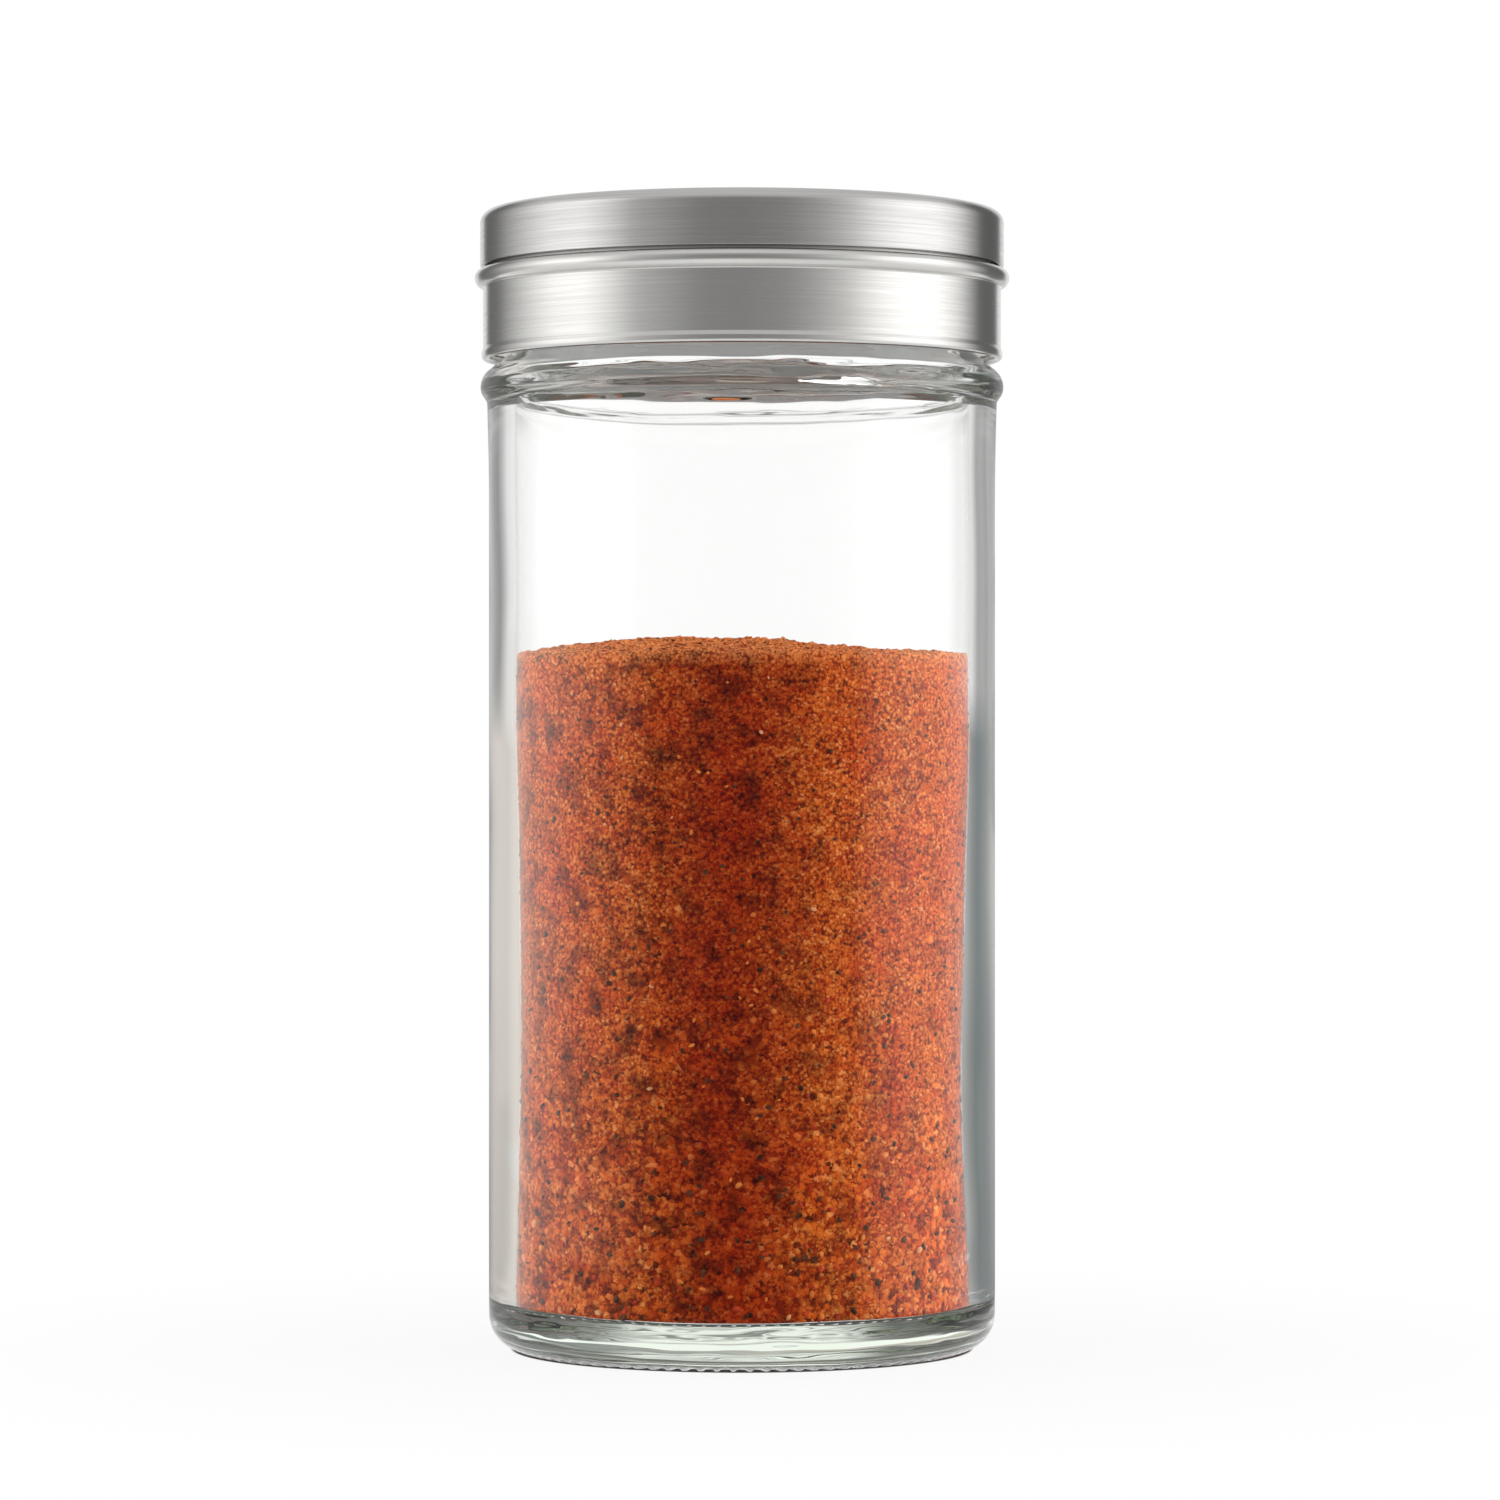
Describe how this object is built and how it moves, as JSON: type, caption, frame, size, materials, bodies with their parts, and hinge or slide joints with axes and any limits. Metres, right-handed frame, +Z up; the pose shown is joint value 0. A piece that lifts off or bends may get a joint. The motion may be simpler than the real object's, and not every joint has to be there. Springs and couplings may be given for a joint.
{
  "type": "spice jar",
  "caption": "Round clear glass spice jar with a threaded neck, part filled with ground spice, under a steel screw lid whose top cap turns over a pour opening and sprinkle holes.",
  "frame": {"origin": "centre of the jar's round foot, on the surface that it stands on", "axes": "+Z up along the jar's axis; -Y towards the camera; +X to the camera's right, the side of the pour opening and, at rest, of the cap's window"},
  "size_m": [0.0506, 0.0506, 0.1088],
  "materials": {
    "clear_glass": "clear pressed soda-lime glass with fire-polished walls",
    "ground_spice": "coarse red-brown ground spice with dark and orange flecks",
    "silicone": "translucent white silicone, matt",
    "white_polypropylene": "moulded white polypropylene",
    "brushed_stainless": "stainless steel brushed round the lid",
    "satin_stainless": "satin stainless steel",
    "polished_stainless": "smooth turned stainless steel"
  },
  "bodies": {
    "jar": {"glass_jar": "clear_glass", "spice_powder": "ground_spice"},
    "seal": {"rim_gasket": "silicone"},
    "lid": {"threaded_insert": "white_polypropylene", "collar_band": "brushed_stainless", "sifter_plate": "satin_stainless", "pivot_rivet": "polished_stainless", "spring_washer": "polished_stainless"},
    "cap": {"rotating_cap": "brushed_stainless"}
  },
  "joints": [
    {"name": "lid_lift", "type": "slide", "parent": "jar", "child": "seal", "axis": [0, 0, 1], "range_m": [0, 0.0128]},
    {"name": "lid_turn", "type": "hinge", "parent": "seal", "child": "lid", "pos_m": [0, 0, 0.1], "axis": [0, 0, 1], "range_deg": [0, 1080]},
    {"name": "cap_turn", "type": "hinge", "parent": "lid", "child": "cap", "pos_m": [0, 0, 0.107], "axis": [0, 0, 1], "continuous": true}
  ],
  "couplings": [
    {"joint": "lid_lift", "follows": "lid_turn", "m_per_rad": 0.0006737}
  ]
}
